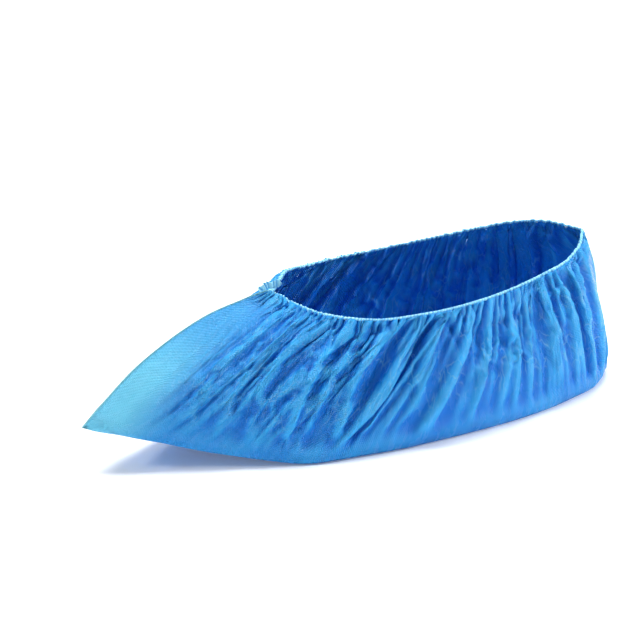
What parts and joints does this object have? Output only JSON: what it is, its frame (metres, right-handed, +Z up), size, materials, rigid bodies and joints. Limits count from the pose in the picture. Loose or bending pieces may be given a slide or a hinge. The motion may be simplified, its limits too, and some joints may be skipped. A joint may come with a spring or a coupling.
{
  "type": "disposable shoe cover",
  "caption": "Disposable shoe cover of thin film, in its worn form: a hollow pocket with a pointed toe, a gathered elastic mouth and welded toe and heel edges.",
  "frame": {"origin": "on the inner face of the sole, in the middle plane of the foot, where the shoe inside bears", "axes": "+Z up, -Y towards the toe, +X towards the outer side of the foot, where the hem is lower"},
  "size_m": [0.1182, 0.3335, 0.0872],
  "materials": {
    "film": "embossed polyethylene film, semi-gloss",
    "fused_hem": "fused film over elastic, semi-gloss",
    "weld": "heat-welded film edge, gloss"
  },
  "bodies": {
    "root": {"film_body": "film", "hem_bead": "fused_hem", "toe_weld": "weld", "heel_weld": "weld", "toe_tab": "fused_hem", "heel_tab": "fused_hem"}
  },
  "joints": []
}
